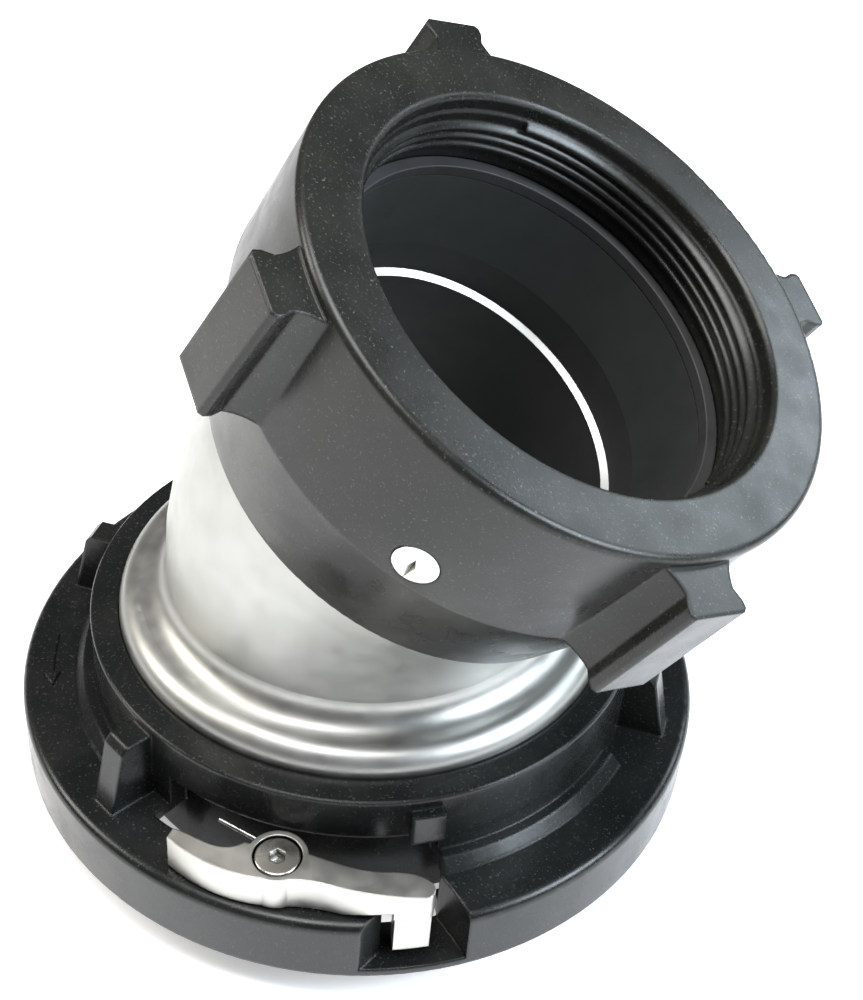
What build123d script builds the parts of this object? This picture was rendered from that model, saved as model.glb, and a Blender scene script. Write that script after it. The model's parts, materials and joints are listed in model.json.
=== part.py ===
"""Thirty-degree elbow hose adapter.

A threaded rocker-lug swivel at the top, a quarter-turn hook coupling head with
spring-loaded lock levers at the bottom, and a bent aluminium elbow between them.

Frame: millimetres, +Z up along the coupling head's axis, origin at the centre of the
head's mating face. The elbow bends towards +X, in the XZ plane.
"""
from build123d import *
import os
from math import acos, atan2, cos, degrees, radians, sin, sqrt, tan

os.makedirs("parts", exist_ok=True)

# ---------------------------------------------------------------- driving dimensions
BEND = 30.0                     # angle between the head's axis and the mouth's axis
BEND_Z = 77.3                   # height at which the two axes cross
MOUTH_REACH = 107.0             # from the crossing to the swivel's front face
BORE_R = 48.0                   # waterway
TUBE_R = 58.3                   # outside of the elbow's tube
RUN = 0.08                      # radial clearance of a running fit
GAP = 0.3                       # space between pieces that only pass each other

# coupling head
RIM_R, RIM_H, RIM_EDGE = 100.9, 20.3, 2.5
COLLAR_R, COLLAR_H = 80.2, 44.4
HUB_BORE_R = 64.0               # bore that turns on the elbow's spigot
BEAD_R = 72.0                   # elbow's base bead, flush in the collar
BEAD_SEAT_Z = 38.0
CHANNEL_IN_R, CHANNEL_OUT_R, CHANNEL_ROOF_Z = 74.0, 86.0, 17.0
LEDGE_R, LEDGE_H = 80.0, 6.0    # the mating hooks catch behind this ledge
WINDOW_FROM, WINDOW_TO, WINDOW_TOP_Z = -100.0, -44.5, 31.0
RIDGE_OUT_R, RIDGE_TOP_Z = 86.0, 23.5
RIDGES = ((-157.0, -114.0), (-45.0, 0.0))
HOOK_AZ, HOOK_SPAN, HOOK_DROP, HOOK_NOSE_H = 14.0, 26.0, 12.0, 5.0
LUG_AZ, LUG_W, LUG_TOP_R, LUG_FOOT_R, LUG_TOP_Z = -107.5, 8.0, 89.3, 94.0, 42.0
STUB_LUG_R, STUB_LUG_TOP_Z = 83.3, 41.0
POCKET_FLOOR = 2.8

# lock lever
PIVOT_R, PIVOT_AZ = 89.8, -73.4
LEVER_Z0, LEVER_Z1, TIP_Z = 21.0, 32.0, 30.0
CLAW_FROM, CLAW_TO, CLAW_Z0 = -54.2, -48.6, 8.0
BOSS_R = 8.0
SCREW_R, SCREW_HEAD_R, SCREW_HEAD_H, SCREW_DEPTH = 2.5, 6.2, 3.2, 14.0
BUSHING_R = 4.5
COIL_R, WIRE_R, COIL_PITCH, COIL_TURNS = 5.4, 0.6, 1.3, 3.25

# swivel ring, measured back from its front face
SWIVEL_R, SWIVEL_EDGE = 74.4, 1.8
SEAM, SEAM_R = 41.4, 72.9
TAIL_R, TAIL_END = 64.5, 73.7
LIP_R, LEAD_IN = 58.0, 4.6
THREAD_ROOT_R, THREAD_CREST_R, THREAD_PITCH = 57.35, 55.65, 25.4 / 8
THREAD_END, RELIEF_END = 18.5, 22.8
GASKET_R, GASKET_END = 54.5, 26.5
SWIVEL_LUG_AZ, SWIVEL_LUG_R, SWIVEL_LUG_W, SWIVEL_LUG_TOP = -33.5, 86.4, 17.0, 3.0
RACE, RACE_R, BALL_R, BALLS = 33.5, 59.0, 3.0, 56
PLUG_AZ, PLUG_R, PLUG_STEM_R = -77.0, 5.6, 4.0
PLUG_SEAT_R, PLUG_HEAD_R, PLUG_SLOT_TURN = SWIVEL_R - 6, SWIVEL_R - 1.2, 35.0

# ---------------------------------------------------------------- shared planes
bend_direction = Vector(sin(radians(BEND)), 0, cos(radians(BEND)))
mouth_centre = Vector(0, 0, BEND_Z) + bend_direction * MOUTH_REACH
mouth_side = Vector(cos(radians(BEND)), 0, -sin(radians(BEND)))


def mouth_plane(depth=0.0):
    """Plane across the mouth's axis, facing out, this far behind the front face."""
    return Plane(mouth_centre - bend_direction * depth, x_dir=mouth_side, z_dir=bend_direction)


mouth_section = Plane(mouth_centre, x_dir=mouth_side, z_dir=mouth_side.cross(bend_direction))


def polar(radius, azimuth):
    """Point in plan from a radius and an azimuth in degrees."""
    return (radius * cos(radians(azimuth)), radius * sin(radians(azimuth)))


def sector(inner, outer, start, end):
    """Sketch of a ring sector between two radii and two azimuths."""
    middle = (start + end) / 2
    with BuildSketch(Plane.XY) as shape:
        with BuildLine():
            outer_arc = ThreePointArc(polar(outer, start), polar(outer, middle), polar(outer, end))
            inner_arc = ThreePointArc(polar(inner, start), polar(inner, middle), polar(inner, end))
            Line(outer_arc @ 0, inner_arc @ 0)
            Line(outer_arc @ 1, inner_arc @ 1)
        make_face()
    return shape.sketch_local


# ---------------------------------------------------------------- coupling head
LEVER_SETS = (("front", 0.0), ("rear", 180.0))      # two opposite sets, by azimuth offset


def radial_plane(azimuth):
    """Upright plane through the head's axis: local x runs outwards, local y runs up."""
    outwards = Vector(cos(radians(azimuth)), sin(radians(azimuth)), 0)
    return Plane((0, 0, 0), x_dir=outwards, z_dir=outwards.cross(Vector(0, 0, 1)))


SNAP_SEAT_R, SNAP_SEAT_Z = 69.5, 7.5

with BuildPart() as coupling_head:
    with BuildSketch(Plane.XZ):
        with BuildLine():
            Polyline((SNAP_SEAT_R, 0), (CHANNEL_IN_R, 0), (CHANNEL_IN_R, CHANNEL_ROOF_Z),
                     (CHANNEL_OUT_R, CHANNEL_ROOF_Z), (CHANNEL_OUT_R, LEDGE_H), (LEDGE_R, LEDGE_H),
                     (LEDGE_R, 0), (RIM_R, 0), (RIM_R, RIM_H), (COLLAR_R, RIM_H),
                     (COLLAR_R, COLLAR_H), (BEAD_R + GAP, COLLAR_H), (BEAD_R + GAP, BEAD_SEAT_Z),
                     (HUB_BORE_R, BEAD_SEAT_Z), (HUB_BORE_R, SNAP_SEAT_Z),
                     (SNAP_SEAT_R, SNAP_SEAT_Z), close=True)
        make_face()
    revolve(axis=Axis.Z)
    circles = coupling_head.edges().filter_by(GeomType.CIRCLE)
    fillet(circles.filter_by(lambda e: abs(e.radius - RIM_R) < 0.1 and e.center().Z > 1), RIM_EDGE)
    circles = coupling_head.edges().filter_by(GeomType.CIRCLE)
    chamfer(circles.filter_by(lambda e: abs(e.radius - RIM_R) < 0.1 and e.center().Z < 1), 0.6)
    circles = coupling_head.edges().filter_by(GeomType.CIRCLE)
    top_edges = circles.filter_by(lambda e: abs(e.center().Z - COLLAR_H) < 0.1)
    fillet(top_edges.filter_by(lambda e: abs(e.radius - COLLAR_R) < 0.1), 0.8)
    for start, end in RIDGES:
        for turn in (0, 180):
            with BuildSketch(Plane.XY.offset(RIM_H - 1)):
                add(sector(COLLAR_R - 2, RIDGE_OUT_R, start + turn, end + turn))
            extrude(amount=RIDGE_TOP_Z - RIM_H + 1)
    ridge_tops = coupling_head.edges().filter_by(GeomType.CIRCLE).filter_by(
        lambda e: abs(e.center().Z - RIDGE_TOP_Z) < 0.1 and abs(e.radius - RIDGE_OUT_R) < 0.1)
    chamfer(ridge_tops, 2.8)
    for turn in (0, 180):
        # spanner lugs, full height beside the window and at the quarter, short over the window
        for azimuth in (LUG_AZ + turn, LUG_AZ + turn + 120):
            with BuildSketch(radial_plane(azimuth)):
                with BuildLine():
                    Polyline((COLLAR_R - 2, RIM_H - 1), (LUG_FOOT_R, RIM_H - 1),
                             (LUG_TOP_R, LUG_TOP_Z - 2), (LUG_TOP_R - 2, LUG_TOP_Z),
                             (COLLAR_R - 2, LUG_TOP_Z), close=True)
                make_face()
            extrude(amount=LUG_W / 2, both=True)
        with BuildSketch(radial_plane(LUG_AZ + turn + 60)):
            with Locations(((COLLAR_R - 2 + STUB_LUG_R) / 2, (WINDOW_TOP_Z + STUB_LUG_TOP_Z) / 2)):
                Rectangle(STUB_LUG_R - COLLAR_R + 2, STUB_LUG_TOP_Z - WINDOW_TOP_Z)
        extrude(amount=LUG_W / 2 + 0.5, both=True)
        # hook: root fills the channel, body drops below the face, nose points outwards
        hook_from, hook_to = HOOK_AZ + turn - HOOK_SPAN / 2, HOOK_AZ + turn + HOOK_SPAN / 2
        with BuildSketch(Plane.XY.offset(-HOOK_DROP)):
            add(sector(CHANNEL_IN_R + GAP, LEDGE_R - 2 * GAP, hook_from, hook_to))
        extrude(amount=HOOK_DROP + CHANNEL_ROOF_Z + 1)
        with BuildSketch(Plane.XY.offset(1)):
            add(sector(CHANNEL_IN_R - 1, CHANNEL_OUT_R + 1, hook_from, hook_to))
        extrude(amount=CHANNEL_ROOF_Z)
        with BuildSketch(Plane.XY.offset(-HOOK_DROP)):
            add(sector(LEDGE_R - 1, CHANNEL_OUT_R - 1.2, hook_from, hook_to))
        extrude(amount=HOOK_NOSE_H)
    for turn in (0, 180):
        # entry window for the mating hook
        with BuildSketch(Plane.XY.offset(-1)):
            add(sector(CHANNEL_IN_R, CHANNEL_OUT_R, WINDOW_FROM + turn, WINDOW_TO + turn))
        extrude(amount=WINDOW_TOP_Z + 1, mode=Mode.SUBTRACT)
        # pocket through the rim for the lever's claw
        with BuildSketch(Plane.XY.offset(POCKET_FLOOR)):
            with BuildLine():
                outline = Polyline(polar(CHANNEL_OUT_R - 1, -45.5 + turn), polar(CHANNEL_OUT_R - 1, -56 + turn),
                                   polar(95, -56 + turn), polar(105, -61.5 + turn))
                outer = ThreePointArc(outline @ 1, polar(106, -52 + turn), polar(105, -42.5 + turn))
                Spline(outer @ 1, polar(97, -43.2 + turn), outline @ 0)
            make_face()
        extrude(amount=RIM_H, mode=Mode.SUBTRACT)
        # tapped hole for the lever's screw
        with Locations(Plane.XY.offset(RIM_H) * Location(polar(PIVOT_R, PIVOT_AZ + turn))):
            Hole(SCREW_R, depth=SCREW_DEPTH)
coupling_head.part.label = "coupling_head"
export_step(coupling_head.part, "parts/coupling_head.step")

# ---------------------------------------------------------------- elbow body
BEND_TANGENT = 18.9             # from the crossing of the axes to each end of the bend
BEND_RADIUS = BEND_TANGENT / tan(radians(BEND / 2))
BEND_FROM_Z, BEND_TO_DEPTH = BEND_Z - BEND_TANGENT, MOUTH_REACH - BEND_TANGENT
SPIGOT_R = HUB_BORE_R - RUN
BEAD_Z0 = BEAD_SEAT_Z + 2.0     # underside of the bead, above the wear ring
BEAD_TOP_Z, BEAD_ROUND, NECK_ROUND = 51.0, 6.2, 7.3
SNAP_GROOVE_R, SNAP_Z0, SNAP_Z1 = 61.8, 3.0, 5.4
O_RING_Z, O_RING_R, O_RING_WIRE = 22.0, 62.7, 1.2
SWIVEL_O_RING_DEPTH, SWIVEL_O_RING_R = 52.0, 57.1
FACE_SEAL_IN, FACE_SEAL_OUT, FACE_SEAL_DEPTH, FACE_SEAL_PROUD = 51.5, 58.5, 5.0, 1.2
INLET_R, INLET_CONE_END, INLET_STEP = 50.0, 49.7, 61.0      # inside of the elbow's mouth
TUBE_END = GASKET_END + 0.1

mouth_axis = Axis(mouth_centre, bend_direction)

with BuildPart() as elbow_body:
    # lower spigot and bead, with the grooves for the snap ring, the O-ring and the face seal
    with BuildSketch(Plane.XZ) as spigot_section:
        with BuildLine():
            Polyline((BORE_R, 0), (SPIGOT_R, 0), (SPIGOT_R, BEAD_Z0), (BEAD_R, BEAD_Z0),
                     (BEAD_R, BEAD_TOP_Z), (TUBE_R, BEAD_TOP_Z), (TUBE_R, BEND_FROM_Z),
                     (BORE_R, BEND_FROM_Z), close=True)
        make_face()
        fillet(spigot_section.vertices().sort_by_distance((BEAD_R, BEAD_TOP_Z, 0))[0], BEAD_ROUND)
        fillet(spigot_section.vertices().sort_by_distance((TUBE_R, BEAD_TOP_Z, 0))[0], NECK_ROUND)
        with Locations((SPIGOT_R, (SNAP_Z0 + SNAP_Z1) / 2)):
            Rectangle(2 * (SPIGOT_R - SNAP_GROOVE_R), SNAP_Z1 - SNAP_Z0 + 0.1, mode=Mode.SUBTRACT)
        with Locations((SPIGOT_R, O_RING_Z)):
            Rectangle(2 * (SPIGOT_R - O_RING_R + O_RING_WIRE), 3 * O_RING_WIRE, mode=Mode.SUBTRACT)
        with Locations(((FACE_SEAL_IN + FACE_SEAL_OUT) / 2, FACE_SEAL_DEPTH / 2)):
            Rectangle(FACE_SEAL_OUT - FACE_SEAL_IN, FACE_SEAL_DEPTH, mode=Mode.SUBTRACT)
    revolve(axis=Axis.Z)
    # bend
    with BuildSketch(Plane.XY.offset(BEND_FROM_Z)):
        Circle(TUBE_R)
        Circle(BORE_R, mode=Mode.SUBTRACT)
    revolve(axis=Axis((BEND_RADIUS, 0, BEND_FROM_Z), (0, 1, 0)), revolution_arc=BEND)
    # upper spigot, wider inside at the mouth, with the ball race and the O-ring's groove
    with BuildSketch(mouth_section):
        with BuildLine():
            Polyline((BORE_R, -BEND_TO_DEPTH), (TUBE_R, -BEND_TO_DEPTH), (TUBE_R, -TUBE_END),
                     (GASKET_R, -TUBE_END), (INLET_R, -INLET_CONE_END), (INLET_R, -INLET_STEP),
                     (BORE_R, -INLET_STEP - 1), close=True)
        make_face()
        with Locations((RACE_R, -RACE)):
            Circle(BALL_R + RUN, mode=Mode.SUBTRACT)
        with Locations((TUBE_R, -SWIVEL_O_RING_DEPTH)):
            Rectangle(2 * (TUBE_R - SWIVEL_O_RING_R + O_RING_WIRE), 3 * O_RING_WIRE, mode=Mode.SUBTRACT)
    revolve(axis=mouth_axis)
elbow_body.part.label = "elbow_body"
export_step(elbow_body.part, "parts/elbow_body.step")

# ---------------------------------------------------------------- rings on the lower spigot
with BuildPart() as head_wear_ring:
    with BuildSketch(Plane.XY.offset(BEAD_SEAT_Z + 0.1)):
        Circle(BEAD_R - 0.4)
        Circle(HUB_BORE_R + 0.5, mode=Mode.SUBTRACT)
    extrude(amount=BEAD_Z0 - BEAD_SEAT_Z - 0.2)
head_wear_ring.part.label = "head_wear_ring"
export_step(head_wear_ring.part, "parts/head_wear_ring.step")

with BuildPart() as head_thrust_washer:
    with BuildSketch(Plane.XY.offset(SNAP_Z1 + 0.2)):
        Circle(SNAP_SEAT_R - GAP)
        Circle(HUB_BORE_R + GAP, mode=Mode.SUBTRACT)
    extrude(amount=SNAP_SEAT_Z - SNAP_Z1 - 0.5)
head_thrust_washer.part.label = "head_thrust_washer"
export_step(head_thrust_washer.part, "parts/head_thrust_washer.step")

with BuildPart() as head_snap_ring:
    with BuildSketch(Plane.XY.offset(SNAP_Z0)):
        Circle(SNAP_SEAT_R - 2 * GAP)
        Circle(SNAP_GROOVE_R + 0.1, mode=Mode.SUBTRACT)
        with Locations((SNAP_SEAT_R - 4, 0)):
            Rectangle(10, 12, mode=Mode.SUBTRACT)
        with Locations((SNAP_SEAT_R - 4, 8.5), (SNAP_SEAT_R - 4, -8.5)):
            Circle(1.1, mode=Mode.SUBTRACT)
    extrude(amount=SNAP_Z1 - SNAP_Z0)
head_snap_ring.part.label = "head_snap_ring"
export_step(head_snap_ring.part, "parts/head_snap_ring.step")

with BuildPart() as head_o_ring:
    with BuildSketch(Plane.XZ):
        with Locations((O_RING_R, O_RING_Z)):
            Circle(O_RING_WIRE)
    revolve(axis=Axis.Z)
head_o_ring.part.label = "head_o_ring"
export_step(head_o_ring.part, "parts/head_o_ring.step")

with BuildPart() as face_seal:
    with BuildSketch(Plane.XZ):
        with BuildLine():
            Polyline((FACE_SEAL_IN + 0.1, FACE_SEAL_DEPTH - 0.1), (FACE_SEAL_OUT - 0.1, FACE_SEAL_DEPTH - 0.1),
                     (FACE_SEAL_OUT - 0.1, 0.4), (FACE_SEAL_OUT - 2.2, -FACE_SEAL_PROUD),
                     (FACE_SEAL_IN + 1.4, -FACE_SEAL_PROUD), (FACE_SEAL_IN + 0.1, 0), close=True)
        make_face()
    revolve(axis=Axis.Z)
face_seal.part.label = "face_seal"
export_step(face_seal.part, "parts/face_seal.step")

# ---------------------------------------------------------------- swivel ring
SWIVEL_BORE_R = TUBE_R + RUN

def rocker_lug():
    """Sketch of one rocker lug, pointing along local x."""
    half = SWIVEL_LUG_W / 2
    with BuildSketch(Plane.XY) as shape:
        with BuildLine():
            side = Polyline((SEAM_R - 2, 0), (SWIVEL_LUG_R, 0), (SWIVEL_LUG_R, half - 1),
                            (SWIVEL_LUG_R - 1, half), (SWIVEL_LUG_R - 3, half), (SWIVEL_LUG_R - 6, half - 1.2))
            flare = ThreePointArc(side @ 1, (SWIVEL_R + 1.2, half + 0.4), (SEAM_R - 2, half + 4))
            Line(flare @ 1, side @ 0)
        make_face()
        mirror(about=Plane.XZ)
    return shape.sketch_local


with BuildPart() as swivel_ring:
    with BuildSketch(mouth_section) as swivel_section:
        with BuildLine():
            Polyline((LIP_R + 1, 0), (SWIVEL_R, 0), (SEAM_R, -SEAM), (TAIL_R, -TAIL_END),
                     (SWIVEL_BORE_R, -TAIL_END), (SWIVEL_BORE_R, -RELIEF_END), (LIP_R, -RELIEF_END),
                     (LIP_R, -THREAD_END), (THREAD_ROOT_R, -THREAD_END),
                     (THREAD_ROOT_R, -LEAD_IN - 0.6), (LIP_R, -LEAD_IN), (LIP_R, -1), close=True)
        make_face()
        fillet(swivel_section.vertices().sort_by_distance((SWIVEL_R, 0, 0))[0], SWIVEL_EDGE)
        fillet(swivel_section.vertices().sort_by_distance((TAIL_R, -TAIL_END, 0))[0], 1)
    revolve(axis=mouth_axis)
    with BuildSketch(mouth_plane(SEAM)):
        with PolarLocations(0, 4, start_angle=SWIVEL_LUG_AZ):
            add(rocker_lug())
    extrude(amount=SEAM - SWIVEL_LUG_TOP)
    # ball race, filling hole and its counterbore
    with BuildSketch(mouth_section):
        with Locations((RACE_R, -RACE)):
            Circle(BALL_R + RUN)
    revolve(axis=mouth_axis, mode=Mode.SUBTRACT)
    plug_direction = (mouth_side * cos(radians(PLUG_AZ)) + Vector(0, 1, 0) * sin(radians(PLUG_AZ)))
    race_centre = mouth_centre - bend_direction * RACE
    with BuildSketch(Plane(race_centre + plug_direction * (RACE_R + 1), z_dir=plug_direction)):
        Circle(PLUG_STEM_R + 0.05)
    extrude(amount=SWIVEL_R - RACE_R, mode=Mode.SUBTRACT)
    with BuildSketch(Plane(race_centre + plug_direction * PLUG_SEAT_R, z_dir=plug_direction)):
        Circle(PLUG_R + 0.2)
    extrude(amount=10, mode=Mode.SUBTRACT)
    # internal hose thread
    with BuildLine() as thread_path:
        Helix(pitch=THREAD_PITCH, height=THREAD_END - LEAD_IN - 3.2, radius=THREAD_ROOT_R,
              center=mouth_centre - bend_direction * (THREAD_END - 1.3), direction=bend_direction)
    start = thread_path.line @ 0
    inward = (mouth_centre - bend_direction * (mouth_centre - start).dot(bend_direction)) - start
    with BuildSketch(Plane(start, x_dir=inward, z_dir=thread_path.line % 0)) as thread_profile:
        with BuildLine():
            crest = THREAD_ROOT_R - THREAD_CREST_R
            Polyline((-0.6, -1.25), (0, -1.25), (crest, -0.4), (crest, 0.4), (0, 1.25),
                     (-0.6, 1.25), close=True)
        make_face()
    sweep(path=thread_path.line)
swivel_ring.part.label = "swivel_ring"
export_step(swivel_ring.part, "parts/swivel_ring.step")

with BuildPart() as swivel_gasket:
    with BuildSketch(mouth_section):
        with Locations(((GASKET_R + SWIVEL_BORE_R - GAP) / 2, -(RELIEF_END + GASKET_END) / 2 - 0.05)):
            RectangleRounded(SWIVEL_BORE_R - GAP - GASKET_R, GASKET_END - RELIEF_END - 0.1, 0.4)
    revolve(axis=mouth_axis)
swivel_gasket.part.label = "swivel_gasket"
export_step(swivel_gasket.part, "parts/swivel_gasket.step")

with BuildPart() as swivel_balls:
    with Locations(mouth_plane(RACE)):
        with PolarLocations(RACE_R, BALLS, start_angle=4.5):
            Sphere(BALL_R)
swivel_balls.part.label = "swivel_balls"
export_step(swivel_balls.part, "parts/swivel_balls.step")

with BuildPart() as swivel_o_ring:
    with BuildSketch(mouth_section):
        with Locations((SWIVEL_O_RING_R, -SWIVEL_O_RING_DEPTH)):
            Circle(O_RING_WIRE)
    revolve(axis=mouth_axis)
swivel_o_ring.part.label = "swivel_o_ring"
export_step(swivel_o_ring.part, "parts/swivel_o_ring.step")

with BuildPart() as ball_plug_screw:
    with BuildSketch(Plane(race_centre + plug_direction * (RACE_R + BALL_R + 0.4), z_dir=plug_direction)):
        Circle(PLUG_STEM_R)
    extrude(amount=PLUG_SEAT_R - RACE_R - BALL_R - 0.4)
    with BuildSketch(Plane(race_centre + plug_direction * PLUG_SEAT_R, z_dir=plug_direction)):
        Circle(PLUG_R)
    extrude(amount=PLUG_HEAD_R - PLUG_SEAT_R)
    slot_plane = Plane(race_centre + plug_direction * PLUG_HEAD_R, x_dir=bend_direction,
                       z_dir=plug_direction)
    with BuildSketch(slot_plane.rotated((0, 0, PLUG_SLOT_TURN))):
        Rectangle(3 * PLUG_R, 1.5)
    extrude(amount=-1.6, mode=Mode.SUBTRACT)
ball_plug_screw.part.label = "ball_plug_screw"
export_step(ball_plug_screw.part, "parts/ball_plug_screw.step")

# ---------------------------------------------------------------- lock levers
SPRING_POCKET_TOP = 26.8        # roof of the spring's pocket under the lever's boss
COUNTERBORE_Z = 28.4            # floor of the recess for the screw's head
WASHER_T = 0.5
COIL_Z0 = LEVER_Z0 + 0.5        # centre of the wire at the coil's lower end
TIP_AZ = -48.3
ARM_AZ = -60.0                  # middle of the lever's arm, for the slopes of its top and underside
SPRING_LEG_END = (COLLAR_R + WIRE_R + GAP, -87.4)       # where the long leg rests on the collar

FRONT_FACE = ((96.2, -91.0), (98.0, -84.0), (98.3, -79.0), (97.5, -74.0), (95.8, -67.0), (96.9, -62.0),
              (98.4, -56.0), (99.6, -50.0))
ARM_BACK = ((95.5, TIP_AZ), (92.4, -50.5), (91.0, -57.0), (89.0, -64.0), (87.5, -68.5))
THUMB_BACK = ((88.5, -79.5), (92.0, -82.5), (92.5, -87.0), (93.0, -91.3))


def arm_plane(azimuth):
    """Upright plane across the lever: local x runs along the rim, local y runs up."""
    outwards = Vector(cos(radians(azimuth)), sin(radians(azimuth)), 0)
    return Plane((0, 0, 0), x_dir=Vector(0, 0, 1).cross(outwards), z_dir=outwards)


for side, turn in LEVER_SETS:
    pivot = Vector(*polar(PIVOT_R, PIVOT_AZ + turn))
    to_leg_end = Vector(*polar(SPRING_LEG_END[0], SPRING_LEG_END[1] + turn)) - pivot
    leg_angle = degrees(atan2(to_leg_end.Y, to_leg_end.X)) - degrees(acos(COIL_R / to_leg_end.length))
    leg_root = pivot + Vector(*polar(COIL_R, leg_angle))
    leg_way = Vector(*polar(1, leg_angle + 90))         # the long leg leaves the coil this way
    leg_length = sqrt(to_leg_end.length ** 2 - COIL_R ** 2)

    with BuildPart() as lock_lever:
        with BuildSketch(Plane.XY.offset(LEVER_Z0)):
            with BuildLine():
                front = Spline(*[polar(radius, azimuth + turn) for radius, azimuth in FRONT_FACE])
                ThreePointArc(front @ 1, polar(98.0, TIP_AZ + turn), polar(95.5, TIP_AZ + turn))
                arm = Spline(*[polar(radius, azimuth + turn) for radius, azimuth in ARM_BACK])
                thumb = Spline(*[polar(radius, azimuth + turn) for radius, azimuth in THUMB_BACK])
                Line(arm @ 1, thumb @ 0)
                Line(thumb @ 1, front @ 0)
            make_face()
            with Locations(pivot):
                Circle(BOSS_R)
        extrude(amount=LEVER_Z1 - LEVER_Z0)
        with BuildSketch(Plane.XY.offset(CLAW_Z0)):
            add(sector(93, 98.5, CLAW_FROM + turn, CLAW_TO + turn))
        extrude(amount=LEVER_Z1 - CLAW_Z0 - 4)
        # the arm's top falls towards the tip, and its underside rises clear of the rim
        with BuildSketch(arm_plane(ARM_AZ + turn)):
            with BuildLine():
                Polyline((-11.7, LEVER_Z1), (24, TIP_Z - 0.3), (24, LEVER_Z1 + 2), (-11.7, LEVER_Z1 + 2),
                         close=True)
            make_face()
        extrude(amount=120, mode=Mode.SUBTRACT)
        with BuildSketch(arm_plane(ARM_AZ + turn)):
            with BuildLine():
                Polyline((-3.4, LEVER_Z0), (8.6, LEVER_Z0 + 2.5), (9.6, LEVER_Z0 + 2.5), (9.6, LEVER_Z0),
                         close=True)
            make_face()
        extrude(amount=120, mode=Mode.SUBTRACT)
        # bore for the bushing, recess for the screw's head, pocket and slot for the spring
        with Locations(Plane.XY.offset(LEVER_Z1) * Location(pivot)):
            CounterBoreHole(BUSHING_R + 0.05, SCREW_HEAD_R + GAP, LEVER_Z1 - COUNTERBORE_Z)
        with BuildSketch(Plane.XY.offset(LEVER_Z0)):
            with Locations(pivot):
                Circle(COIL_R + WIRE_R + 2 * GAP)
        extrude(amount=SPRING_POCKET_TOP - LEVER_Z0, mode=Mode.SUBTRACT)
        with BuildSketch(Plane(leg_root + Vector(0, 0, LEVER_Z0 - 1), x_dir=leg_way)):
            with Locations((6, 0)):
                Rectangle(14, 4)
        extrude(amount=SPRING_POCKET_TOP - LEVER_Z0 + 1, mode=Mode.SUBTRACT)
    lock_lever.part.label = f"{side}_lock_lever"
    export_step(lock_lever.part, f"parts/{side}_lock_lever.step")

    with BuildPart() as lever_washer:
        with BuildSketch(Plane.XY.offset(RIM_H + 0.02)):
            with Locations(pivot):
                Circle(BUSHING_R + 0.9)
                Circle(SCREW_R + 0.2, mode=Mode.SUBTRACT)
        extrude(amount=WASHER_T)
    lever_washer.part.label = f"{side}_lever_washer"
    export_step(lever_washer.part, f"parts/{side}_lever_washer.step")

    with BuildPart() as lever_bushing:
        with BuildSketch(Plane.XY.offset(RIM_H + WASHER_T + 0.04)):
            with Locations(pivot):
                Circle(BUSHING_R)
                Circle(SCREW_R + 0.1, mode=Mode.SUBTRACT)
        extrude(amount=COUNTERBORE_Z + 0.15 - RIM_H - WASHER_T - 0.04)
    lever_bushing.part.label = f"{side}_lever_bushing"
    export_step(lever_bushing.part, f"parts/{side}_lever_bushing.step")

    with BuildPart() as lever_screw:
        with BuildSketch(Plane.XY.offset(COUNTERBORE_Z + 0.18)):
            with Locations(pivot):
                Circle(SCREW_HEAD_R)
        extrude(amount=SCREW_HEAD_H)
        chamfer(lever_screw.edges().group_by(Axis.Z)[-1], 0.5)
        with BuildSketch(Plane.XY.offset(COUNTERBORE_Z + 0.18 + SCREW_HEAD_H)):
            with Locations(pivot):
                RegularPolygon(2.0, 6, major_radius=False)
        extrude(amount=-2, mode=Mode.SUBTRACT)
        with BuildSketch(Plane.XY.offset(RIM_H - SCREW_DEPTH + 1)):
            with Locations(pivot):
                Circle(SCREW_R - 0.02)
        extrude(amount=SCREW_DEPTH - 1 + COUNTERBORE_Z + 0.18 - RIM_H)
    lever_screw.part.label = f"{side}_lever_screw"
    export_step(lever_screw.part, f"parts/{side}_lever_screw.step")

    # torsion spring, made at the front and turned into place: its long leg leans on the collar
    with BuildPart() as lever_spring:
        with BuildLine() as wire:
            coil = Helix(pitch=COIL_PITCH, height=COIL_PITCH * COIL_TURNS, radius=COIL_R,
                         center=Vector(*polar(PIVOT_R, PIVOT_AZ)) + Vector(0, 0, COIL_Z0))
            Line(coil @ 0 - coil % 0 * 3, coil @ 0)
            Line(coil @ 1, coil @ 1 + coil % 1 * leg_length)
        with BuildSketch(Plane(wire.wires()[0] @ 0, z_dir=wire.wires()[0] % 0)):
            Circle(WIRE_R)
        sweep(path=wire.wires()[0])
    placed_spring = lever_spring.part.rotate(Axis.Z, turn)
    placed_spring.label = f"{side}_lever_spring"
    export_step(placed_spring, f"parts/{side}_lever_spring.step")
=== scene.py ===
"""Looks of the elbow hose adapter: materials, the raised direction mark, light and camera."""
import json
from math import cos, radians, sin

import bpy
from mathutils import Matrix, Vector


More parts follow.
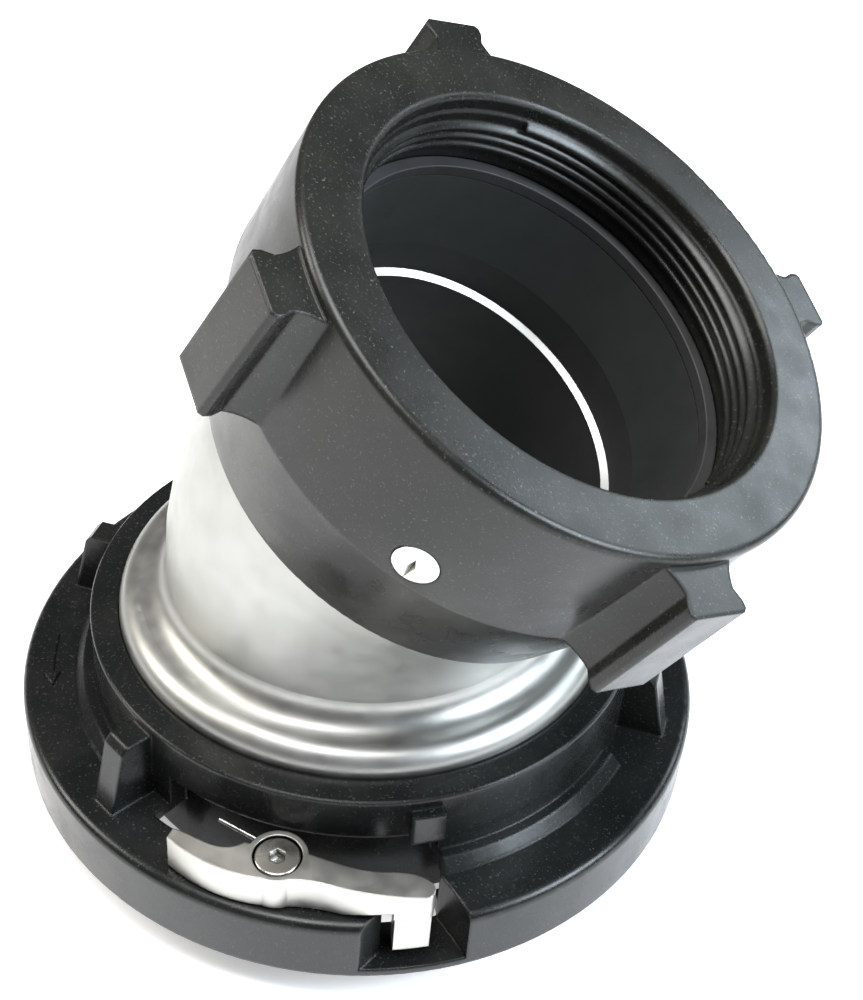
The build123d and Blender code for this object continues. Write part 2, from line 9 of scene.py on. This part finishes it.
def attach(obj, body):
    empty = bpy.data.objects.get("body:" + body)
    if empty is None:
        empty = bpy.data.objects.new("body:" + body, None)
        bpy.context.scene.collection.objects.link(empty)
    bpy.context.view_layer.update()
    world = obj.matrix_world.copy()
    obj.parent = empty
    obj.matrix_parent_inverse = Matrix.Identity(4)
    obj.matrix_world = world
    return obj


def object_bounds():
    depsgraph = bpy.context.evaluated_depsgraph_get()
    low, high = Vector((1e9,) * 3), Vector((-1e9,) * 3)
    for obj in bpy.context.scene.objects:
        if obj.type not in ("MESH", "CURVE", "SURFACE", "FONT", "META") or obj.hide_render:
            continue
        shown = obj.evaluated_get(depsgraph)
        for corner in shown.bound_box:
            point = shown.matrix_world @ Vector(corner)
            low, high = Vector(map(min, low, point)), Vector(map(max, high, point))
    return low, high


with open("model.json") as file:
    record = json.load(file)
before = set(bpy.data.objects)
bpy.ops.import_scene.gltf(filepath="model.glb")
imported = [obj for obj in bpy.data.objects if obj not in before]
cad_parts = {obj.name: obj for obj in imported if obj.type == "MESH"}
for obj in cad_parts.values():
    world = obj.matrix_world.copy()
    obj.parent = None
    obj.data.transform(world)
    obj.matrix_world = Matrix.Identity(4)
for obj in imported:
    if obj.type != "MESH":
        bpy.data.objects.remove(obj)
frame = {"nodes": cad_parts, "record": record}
cad_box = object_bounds()

# the object's own measures, in metres
CROSSING = Vector((0, 0, 0.0773))       # where the head's axis meets the mouth's axis
MOUTH_DIRECTION = Vector((sin(radians(30)), 0, cos(radians(30))))
BORE_LIMIT, MOUTH_LIMIT = 0.0532, 0.0562    # between inner and outer wall, in the tube and at its mouth
LIP_S, LIP_HALF = 0.0455, 0.0007        # ledge in the waterway kept out of the dark: way past the crossing, half height
RIM_TOP_Z = 0.0203
NOISE_LOW, NOISE_HIGH = 0.3, 0.7        # the range that most of Blender's noise falls in


# ---------------------------------------------------------------- node helpers
class Shader:
    """A new node material around one Principled shader, with short calls for its nodes."""

    def __init__(self, name, **sockets):
        self.material = bpy.data.materials.new(name)
        self.material.use_nodes = True
        self.tree = self.material.node_tree
        self.surface = self.tree.nodes["Principled BSDF"]
        for socket, value in sockets.items():
            self.surface.inputs[socket.replace("_", " ")].default_value = value
        self.position = self.add("ShaderNodeTexCoord").outputs["Object"]

    def add(self, kind, inputs=(), **settings):
        node = self.tree.nodes.new(kind)
        for key, value in settings.items():
            setattr(node, key, value)
        for key, value in dict(inputs).items():
            if isinstance(value, bpy.types.NodeSocket):
                self.tree.links.new(value, node.inputs[key])
            else:
                node.inputs[key].default_value = value
        return node

    def noise(self, scale, detail=3.0, stretch=(1, 1, 1)):
        """Noise over the surface, scale in features per metre."""
        moved = self.add("ShaderNodeMapping", {"Vector": self.position, "Scale": stretch})
        return self.add("ShaderNodeTexNoise", {"Vector": moved.outputs[0], "Scale": scale,
                                               "Detail": detail}).outputs["Fac"]

    def number(self, value, low, high, to_low, to_high):
        """value between low and high, mapped to between to_low and to_high."""
        return self.add("ShaderNodeMapRange", {"Value": value, "From Min": low, "From Max": high,
                                               "To Min": to_low, "To Max": to_high}).outputs[0]

    def varied(self, scale, detail, low, high):
        """A number that noise moves between low and high over the surface."""
        return self.number(self.noise(scale, detail), NOISE_LOW, NOISE_HIGH, low, high)

    def math(self, operation, a, b=0.0):
        return self.add("ShaderNodeMath", {0: a, 1: b}, operation=operation).outputs[0]

    def vector(self, operation, a, b=(0, 0, 0)):
        return self.add("ShaderNodeVectorMath", {0: a, 1: b}, operation=operation)

    def mix(self, factor, a, b):
        """Colour between a and b."""
        node = self.add("ShaderNodeMix", {"Factor": factor}, data_type="RGBA")
        for socket, value in zip(node.inputs[6:8], (a, b)):
            if isinstance(value, bpy.types.NodeSocket):
                self.tree.links.new(value, socket)
            else:
                socket.default_value = (*value, 1)
        return node.outputs[2]

    def set(self, socket, value):
        self.tree.links.new(value, self.surface.inputs[socket])

    def bump(self, height, distance, strength=1.0, edge=0.0):
        """Grain of this height in metres, and edges that catch the light over this radius."""
        node = self.add("ShaderNodeBump", {"Height": height, "Distance": distance, "Strength": strength})
        if edge:
            rounded = self.add("ShaderNodeBevel", {"Radius": edge}, samples=6)
            self.tree.links.new(rounded.outputs[0], node.inputs["Normal"])
        self.set("Normal", node.outputs[0])

    def painted_crevice_shade(self, colour, reach):
        """colour with painted shade: darkened in slots and corners this deep."""
        shade = self.add("ShaderNodeAmbientOcclusion", {"Distance": reach}, samples=8).outputs["AO"]
        return self.mix(self.number(shade, 0.35, 0.85, 0, 1), (0.03, 0.028, 0.025), colour)

    def distance_from_axis(self, point, direction):
        """(distance from the line, distance along it) of the shaded point."""
        offset = self.vector("SUBTRACT", self.position, tuple(point)).outputs[0]
        along = self.vector("DOT_PRODUCT", offset, tuple(direction)).outputs["Value"]
        across = self.vector("CROSS_PRODUCT", offset, tuple(direction)).outputs[0]
        return self.vector("LENGTH", across).outputs["Value"], along


# ---------------------------------------------------------------- materials
def black_coat(name, dark, light, speck, roughness):
    """Hard black anodising: faint mottling, fine pale specks and a soft grain."""
    shader = Shader(name, Specular_IOR_Level=0.3)
    cloud = shader.varied(38, 4, 0, 1)
    specks = shader.number(shader.noise(1500, 2), 0.62, 0.78, 0, 1)
    base = shader.mix(cloud, dark, light)
    shader.set("Base Color", shader.mix(shader.math("MULTIPLY", specks, 0.5), base, speck))
    shader.set("Roughness", shader.varied(90, 4, roughness - 0.05, roughness + 0.08))
    shader.bump(shader.noise(1100, 3), 0.00004, 0.35, edge=0.0013)
    return shader.material


def bare_alloy(name, warm, cool, roughness, grain):
    """Bare aluminium: slow change of tint, tumbled grain, varied gloss."""
    shader = Shader(name, Metallic=1.0)
    cloud = shader.varied(22, 3, 0, 1)
    # painted shade: the colour is darkened in slots and corners found by ambient occlusion
    shader.set("Base Color", shader.painted_crevice_shade(shader.mix(cloud, warm, cool), 0.002))
    shader.set("Roughness", shader.varied(160, 4, roughness - 0.05, roughness + 0.07))
    shader.bump(shader.noise(grain, 4), 0.00005, 0.35, edge=0.0005)
    return shader.material


def elbow_alloy():
    """Satin aluminium outside, dark inside the waterway."""
    shader = Shader("elbow_satin_alloy")
    lower_r, _ = shader.distance_from_axis(CROSSING, (0, 0, 1))
    upper_r, upper_s = shader.distance_from_axis(CROSSING, MOUTH_DIRECTION)
    bisector = tuple((MOUTH_DIRECTION + Vector((0, 0, 1))).normalized())
    offset = shader.vector("SUBTRACT", shader.position, tuple(CROSSING)).outputs[0]
    beyond = shader.math("GREATER_THAN", shader.vector("DOT_PRODUCT", offset, bisector).outputs["Value"])
    in_lower = shader.math("LESS_THAN", lower_r, BORE_LIMIT)
    limit = shader.number(upper_s, 0.02, 0.06, BORE_LIMIT, MOUTH_LIMIT)
    in_upper = shader.math("LESS_THAN", upper_r, limit)
    inside = shader.math("MAXIMUM", shader.math("MULTIPLY", in_upper, beyond),
                         shader.math("MULTIPLY", in_lower, shader.math("SUBTRACT", 1.0, beyond)))
    cloud = shader.varied(18, 3, 0, 1)
    outer = shader.mix(cloud, (0.36, 0.36, 0.335), (0.42, 0.42, 0.41))
    inner = shader.mix(cloud, (0.014, 0.016, 0.015), (0.022, 0.024, 0.022))
    # the ledge keeps the outside's colour; the rest of the waterway is dark, non-metallic and rougher
    from_lip = shader.math("ABSOLUTE", shader.math("SUBTRACT", upper_s, LIP_S))
    on_lip = shader.math("LESS_THAN", from_lip, LIP_HALF)
    inside = shader.math("MULTIPLY", inside, shader.math("SUBTRACT", 1.0, on_lip))
    shader.set("Base Color", shader.mix(inside, outer, inner))
    shader.set("Metallic", shader.number(inside, 0, 1, 1.0, 0.0))
    satin = shader.varied(140, 4, 0.36, 0.46)
    shader.set("Roughness", shader.math("ADD", satin, shader.math("MULTIPLY", inside, 0.2)))
    shader.bump(shader.noise(1600, 3), 0.00004, 0.35)
    return shader.material


def rubber(name):
    """Moulded black rubber."""
    shader = Shader(name, Specular_IOR_Level=0.4)
    shader.set("Base Color", shader.mix(shader.noise(60, 3), (0.016, 0.016, 0.016), (0.04, 0.04, 0.04)))
    shader.set("Roughness", shader.varied(200, 3, 0.5, 0.7))
    shader.bump(shader.noise(900, 2), 0.00005, 0.4)
    return shader.material


def plastic(name):
    """White moulded plastic."""
    shader = Shader(name)
    shader.set("Base Color", shader.mix(shader.noise(40, 3), (0.70, 0.70, 0.67), (0.82, 0.82, 0.79)))
    shader.set("Roughness", shader.varied(150, 3, 0.4, 0.55))
    shader.bump(shader.noise(700, 2), 0.00004, 0.3)
    return shader.material


MATERIALS = {
    "black_anodised": black_coat("black_anodising", (0.004, 0.005, 0.005), (0.010, 0.011, 0.010),
                                 (0.10, 0.10, 0.09), 0.24),
    "grey_hardcoat": black_coat("grey_hard_coat", (0.006, 0.007, 0.006), (0.014, 0.014, 0.012),
                                (0.14, 0.14, 0.12), 0.27),
    "satin_alloy": elbow_alloy(),
    "polished_lever": bare_alloy("lever_alloy", (0.42, 0.41, 0.375), (0.50, 0.49, 0.47), 0.36, 700),
    "plated_screw": bare_alloy("plated_steel", (0.55, 0.54, 0.49), (0.64, 0.63, 0.59), 0.24, 2400),
    "spring_steel": bare_alloy("spring_steel", (0.62, 0.61, 0.57), (0.75, 0.74, 0.71), 0.25, 2400),
    "bushing_brass": bare_alloy("turned_brass", (0.72, 0.53, 0.24), (0.80, 0.62, 0.32), 0.25, 2400),
    "ball_steel": bare_alloy("ball_steel", (0.72, 0.72, 0.72), (0.80, 0.80, 0.80), 0.12, 2400),
    "seal_rubber": rubber("seal_rubber"),
    "acetal": plastic("white_acetal"),
}

SLOTS = {part["node"]: part["material_slot"] for part in frame["record"]["subparts"]}
for node, piece in frame["nodes"].items():
    piece.data.materials.clear()
    piece.data.materials.append(MATERIALS[SLOTS[node]])


# ---------------------------------------------------------------- raised direction mark on the rim
def on_rim(radius, azimuth, height):
    """Point over the rim's top from a radius, an azimuth in degrees and a height."""
    return (radius * cos(radians(azimuth)), radius * sin(radians(azimuth)), RIM_TOP_Z + height)


ARROW_STEPS, ARROW_HEAD_SHARE = 12, 0.25
ARROW_ROOT, ARROW_TAPER = 0.0002, 0.75      # depth under the rim's top, and width of the top by the foot's


def direction_arrow(name, start, end, radius=0.0925, half_width=0.0008, head=0.0028, height=0.0006):
    """Raised curved arrow on the rim, from one azimuth to another, its sides sloping a little."""
    shaft_end = end + (start - end) * ARROW_HEAD_SHARE
    azimuths = [start + (shaft_end - start) * i / ARROW_STEPS for i in range(ARROW_STEPS + 1)]
    outline = [(radius + half_width, azimuth) for azimuth in azimuths]
    outline += [(radius + head, shaft_end), (radius, end), (radius - head, shaft_end)]
    outline += [(radius - half_width, azimuth) for azimuth in reversed(azimuths)]
    count = len(outline)
    foot = [on_rim(r, azimuth, -ARROW_ROOT) for r, azimuth in outline]
    top = [on_rim(radius + (r - radius) * ARROW_TAPER, azimuth, height) for r, azimuth in outline]
    faces = [tuple(range(count, 2 * count)), tuple(reversed(range(count)))]
    faces += [(i, (i + 1) % count, count + (i + 1) % count, count + i) for i in range(count)]
    mesh = bpy.data.meshes.new(name)
    mesh.from_pydata(foot + top, [], faces)
    mesh.validate()
    mark = bpy.data.objects.new(name, mesh)
    bpy.context.collection.objects.link(mark)
    mesh.materials.append(MATERIALS["black_anodised"])
    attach(mark, "head")


for side, turn in (("front", 0), ("rear", 180)):
    direction_arrow(f"{side}_direction_arrow", turn - 151, turn - 138)


# ---------------------------------------------------------------- camera, light and floor
def look_from(target, azimuth, elevation, distance, roll=0.0):
    """Matrix of a camera or lamp that looks at target; azimuth 0 looks along +Y."""
    back = Vector((sin(azimuth) * cos(elevation), -cos(azimuth) * cos(elevation), sin(elevation)))
    right = Vector((cos(azimuth), sin(azimuth), 0))
    up = back.cross(right)
    turned_right = right * cos(roll) + up * sin(roll)
    turned_up = up * cos(roll) - right * sin(roll)
    place = Matrix((turned_right, turned_up, back)).transposed().to_4x4()
    place.translation = Vector(target) + back * distance
    return place


OBJECT_MIDDLE = (0, 0, 0.08)
CAMERA_TARGET, CAMERA_DISTANCE = (-0.0021, 0.0617, 0.063), 0.5
CAMERA_AZIMUTH, CAMERA_ELEVATION, CAMERA_ROLL = radians(24.82), radians(36.61), radians(5.60)

camera_data = bpy.data.cameras.new("camera")
camera_data.sensor_fit = "VERTICAL"
camera_data.sensor_height = 36
camera_data.lens = 56.35
camera_data.shift_x, camera_data.shift_y = -0.0314, -0.0643
camera = bpy.data.objects.new("camera", camera_data)
camera.matrix_world = look_from(CAMERA_TARGET, CAMERA_AZIMUTH, CAMERA_ELEVATION, CAMERA_DISTANCE,
                                CAMERA_ROLL)
bpy.context.collection.objects.link(camera)
bpy.context.scene.camera = camera


def soft_box(name, azimuth, elevation, distance, size, power, colour):
    """Rectangular lamp that looks at the object's middle."""
    lamp = bpy.data.lights.new(name, "AREA")
    lamp.shape = "RECTANGLE"
    lamp.size, lamp.size_y = size
    lamp.energy = power
    lamp.color = colour
    holder = bpy.data.objects.new(name, lamp)
    holder.matrix_world = look_from(OBJECT_MIDDLE, radians(azimuth), radians(elevation), distance)
    bpy.context.collection.objects.link(holder)


soft_box("key_light", 95, 35, 0.9, (0.4, 0.35), 12, (0.80, 0.90, 1.0))
soft_box("face_light", 146, 28, 1.0, (0.32, 0.4), 3, (0.80, 0.91, 1.0))
soft_box("fill_light", -65, 38, 1.1, (0.3, 0.6), 8, (1.0, 0.96, 0.88))
soft_box("top_light", 20, 84, 1.3, (0.8, 0.8), 26, (1.0, 1.0, 1.0))

world = bpy.data.worlds.new("studio")
world.use_nodes = True
world.node_tree.nodes["Background"].inputs["Color"].default_value = (1, 1, 1, 1)
world.node_tree.nodes["Background"].inputs["Strength"].default_value = 0.17
bpy.context.scene.world = world

floor_mesh = bpy.data.meshes.new("floor")
FLOOR_HALF, FLOOR_GAP = 3.0, 0.0002
floor_z = cad_box[0][2] - FLOOR_GAP
corners = ((-FLOOR_HALF, -FLOOR_HALF), (FLOOR_HALF, -FLOOR_HALF), (FLOOR_HALF, FLOOR_HALF),
           (-FLOOR_HALF, FLOOR_HALF))
floor_mesh.from_pydata([(x, y, floor_z) for x, y in corners], [], [(0, 1, 2, 3)])
floor = bpy.data.objects.new("floor", floor_mesh)
bpy.context.collection.objects.link(floor)
floor_shader = Shader("pale_floor", Roughness=0.9, Emission_Color=(1, 1, 1, 1), Emission_Strength=0.42)
floor_tint = floor_shader.mix(floor_shader.noise(6, 2), (0.90, 0.90, 0.90), (0.93, 0.93, 0.93))
floor_shader.set("Base Color", floor_tint)
floor_mesh.materials.append(floor_shader.material)

bpy.context.scene.view_settings.view_transform = "Standard"
